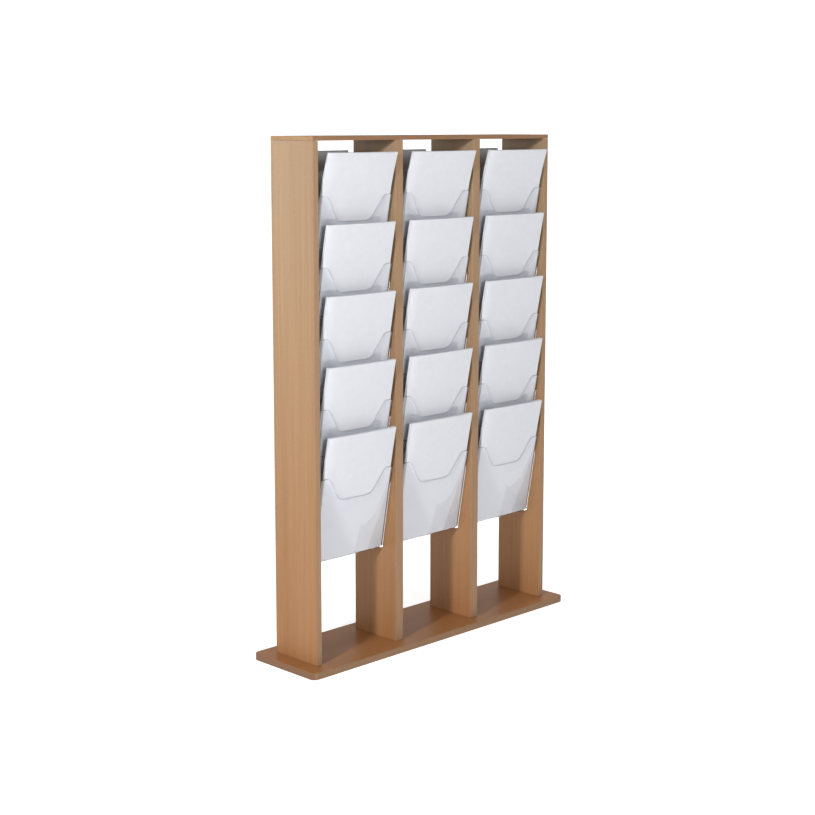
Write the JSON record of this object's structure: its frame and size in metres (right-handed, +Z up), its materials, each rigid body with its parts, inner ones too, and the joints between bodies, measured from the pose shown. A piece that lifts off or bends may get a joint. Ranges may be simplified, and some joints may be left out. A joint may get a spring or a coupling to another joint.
{
  "type": "brochure rack",
  "caption": "Free-standing double-sided wooden rack with clear pockets that lean outwards in tiers and hold A4 leaflets.",
  "frame": {"origin": "on the floor at the middle of the base board's underside", "axes": "+Z up, -Y out of the front, +X to the right as seen from the front, along the rack's width"},
  "size_m": [0.862, 0.212, 1.2],
  "materials": {
    "beech": "satin lacquered beech veneer, long grain up the uprights",
    "clear_acrylic": "clear polished acrylic sheet",
    "leaflet_paper": "white coated paper, faint sheen",
    "zinc_steel": "bright zinc plate"
  },
  "bodies": {
    "rack": {"base_board": "beech", "left_end_panel": "beech", "left_inner_upright": "beech", "right_inner_upright": "beech", "right_end_panel": "beech", "top_board": "beech", "base_bolt_1": "zinc_steel", "base_bolt_2": "zinc_steel", "base_bolt_3": "zinc_steel", "base_bolt_4": "zinc_steel", "front_pocket_left_1": "clear_acrylic", "front_pocket_left_2": "clear_acrylic", "front_pocket_left_3": "clear_acrylic", "front_pocket_left_4": "clear_acrylic", "front_pocket_left_5": "clear_acrylic", "front_pocket_middle_1": "clear_acrylic", "front_pocket_middle_2": "clear_acrylic", "front_pocket_middle_3": "clear_acrylic", "front_pocket_middle_4": "clear_acrylic", "front_pocket_middle_5": "clear_acrylic", "front_pocket_right_1": "clear_acrylic", "front_pocket_right_2": "clear_acrylic", "front_pocket_right_3": "clear_acrylic", "front_pocket_right_4": "clear_acrylic", "front_pocket_right_5": "clear_acrylic", "rear_pocket_left_1": "clear_acrylic", "rear_pocket_left_2": "clear_acrylic", "rear_pocket_left_3": "clear_acrylic", "rear_pocket_left_4": "clear_acrylic", "rear_pocket_left_5": "clear_acrylic", "rear_pocket_middle_1": "clear_acrylic", "rear_pocket_middle_2": "clear_acrylic", "rear_pocket_middle_3": "clear_acrylic", "rear_pocket_middle_4": "clear_acrylic", "rear_pocket_middle_5": "clear_acrylic", "rear_pocket_right_1": "clear_acrylic", "rear_pocket_right_2": "clear_acrylic", "rear_pocket_right_3": "clear_acrylic", "rear_pocket_right_4": "clear_acrylic", "rear_pocket_right_5": "clear_acrylic"},
    "front_leaflets_left_1": {"front_leaflets_left_1": "leaflet_paper"},
    "front_leaflets_left_2": {"front_leaflets_left_2": "leaflet_paper"},
    "front_leaflets_left_3": {"front_leaflets_left_3": "leaflet_paper"},
    "front_leaflets_left_4": {"front_leaflets_left_4": "leaflet_paper"},
    "front_leaflets_left_5": {"front_leaflets_left_5": "leaflet_paper"},
    "front_leaflets_middle_1": {"front_leaflets_middle_1": "leaflet_paper"},
    "front_leaflets_middle_2": {"front_leaflets_middle_2": "leaflet_paper"},
    "front_leaflets_middle_3": {"front_leaflets_middle_3": "leaflet_paper"},
    "front_leaflets_middle_4": {"front_leaflets_middle_4": "leaflet_paper"},
    "front_leaflets_middle_5": {"front_leaflets_middle_5": "leaflet_paper"},
    "front_leaflets_right_1": {"front_leaflets_right_1": "leaflet_paper"},
    "front_leaflets_right_2": {"front_leaflets_right_2": "leaflet_paper"},
    "front_leaflets_right_3": {"front_leaflets_right_3": "leaflet_paper"},
    "front_leaflets_right_4": {"front_leaflets_right_4": "leaflet_paper"},
    "front_leaflets_right_5": {"front_leaflets_right_5": "leaflet_paper"},
    "rear_leaflets_left_1": {"rear_leaflets_left_1": "leaflet_paper"},
    "rear_leaflets_middle_1": {"rear_leaflets_middle_1": "leaflet_paper"},
    "rear_leaflets_right_1": {"rear_leaflets_right_1": "leaflet_paper"}
  },
  "joints": [
    {"name": "front_leaflets_left_1_lift", "type": "slide", "parent": "rack", "child": "front_leaflets_left_1", "axis": [0, -0.1736, 0.9848], "range_m": [0, 0.21]},
    {"name": "front_leaflets_left_2_lift", "type": "slide", "parent": "rack", "child": "front_leaflets_left_2", "axis": [0, -0.1736, 0.9848], "range_m": [0, 0.21]},
    {"name": "front_leaflets_left_3_lift", "type": "slide", "parent": "rack", "child": "front_leaflets_left_3", "axis": [0, -0.1736, 0.9848], "range_m": [0, 0.21]},
    {"name": "front_leaflets_left_4_lift", "type": "slide", "parent": "rack", "child": "front_leaflets_left_4", "axis": [0, -0.1736, 0.9848], "range_m": [0, 0.21]},
    {"name": "front_leaflets_left_5_lift", "type": "slide", "parent": "rack", "child": "front_leaflets_left_5", "axis": [0, -0.1736, 0.9848], "range_m": [0, 0.21]},
    {"name": "front_leaflets_middle_1_lift", "type": "slide", "parent": "rack", "child": "front_leaflets_middle_1", "axis": [0, -0.1736, 0.9848], "range_m": [0, 0.21]},
    {"name": "front_leaflets_middle_2_lift", "type": "slide", "parent": "rack", "child": "front_leaflets_middle_2", "axis": [0, -0.1736, 0.9848], "range_m": [0, 0.21]},
    {"name": "front_leaflets_middle_3_lift", "type": "slide", "parent": "rack", "child": "front_leaflets_middle_3", "axis": [0, -0.1736, 0.9848], "range_m": [0, 0.21]},
    {"name": "front_leaflets_middle_4_lift", "type": "slide", "parent": "rack", "child": "front_leaflets_middle_4", "axis": [0, -0.1736, 0.9848], "range_m": [0, 0.21]},
    {"name": "front_leaflets_middle_5_lift", "type": "slide", "parent": "rack", "child": "front_leaflets_middle_5", "axis": [0, -0.1736, 0.9848], "range_m": [0, 0.21]},
    {"name": "front_leaflets_right_1_lift", "type": "slide", "parent": "rack", "child": "front_leaflets_right_1", "axis": [0, -0.1736, 0.9848], "range_m": [0, 0.21]},
    {"name": "front_leaflets_right_2_lift", "type": "slide", "parent": "rack", "child": "front_leaflets_right_2", "axis": [0, -0.1736, 0.9848], "range_m": [0, 0.21]},
    {"name": "front_leaflets_right_3_lift", "type": "slide", "parent": "rack", "child": "front_leaflets_right_3", "axis": [0, -0.1736, 0.9848], "range_m": [0, 0.21]},
    {"name": "front_leaflets_right_4_lift", "type": "slide", "parent": "rack", "child": "front_leaflets_right_4", "axis": [0, -0.1736, 0.9848], "range_m": [0, 0.21]},
    {"name": "front_leaflets_right_5_lift", "type": "slide", "parent": "rack", "child": "front_leaflets_right_5", "axis": [0, -0.1736, 0.9848], "range_m": [0, 0.21]},
    {"name": "rear_leaflets_left_1_lift", "type": "slide", "parent": "rack", "child": "rear_leaflets_left_1", "axis": [0, 0.1736, 0.9848], "range_m": [0, 0.21]},
    {"name": "rear_leaflets_middle_1_lift", "type": "slide", "parent": "rack", "child": "rear_leaflets_middle_1", "axis": [0, 0.1736, 0.9848], "range_m": [0, 0.21]},
    {"name": "rear_leaflets_right_1_lift", "type": "slide", "parent": "rack", "child": "rear_leaflets_right_1", "axis": [0, 0.1736, 0.9848], "range_m": [0, 0.21]}
  ]
}
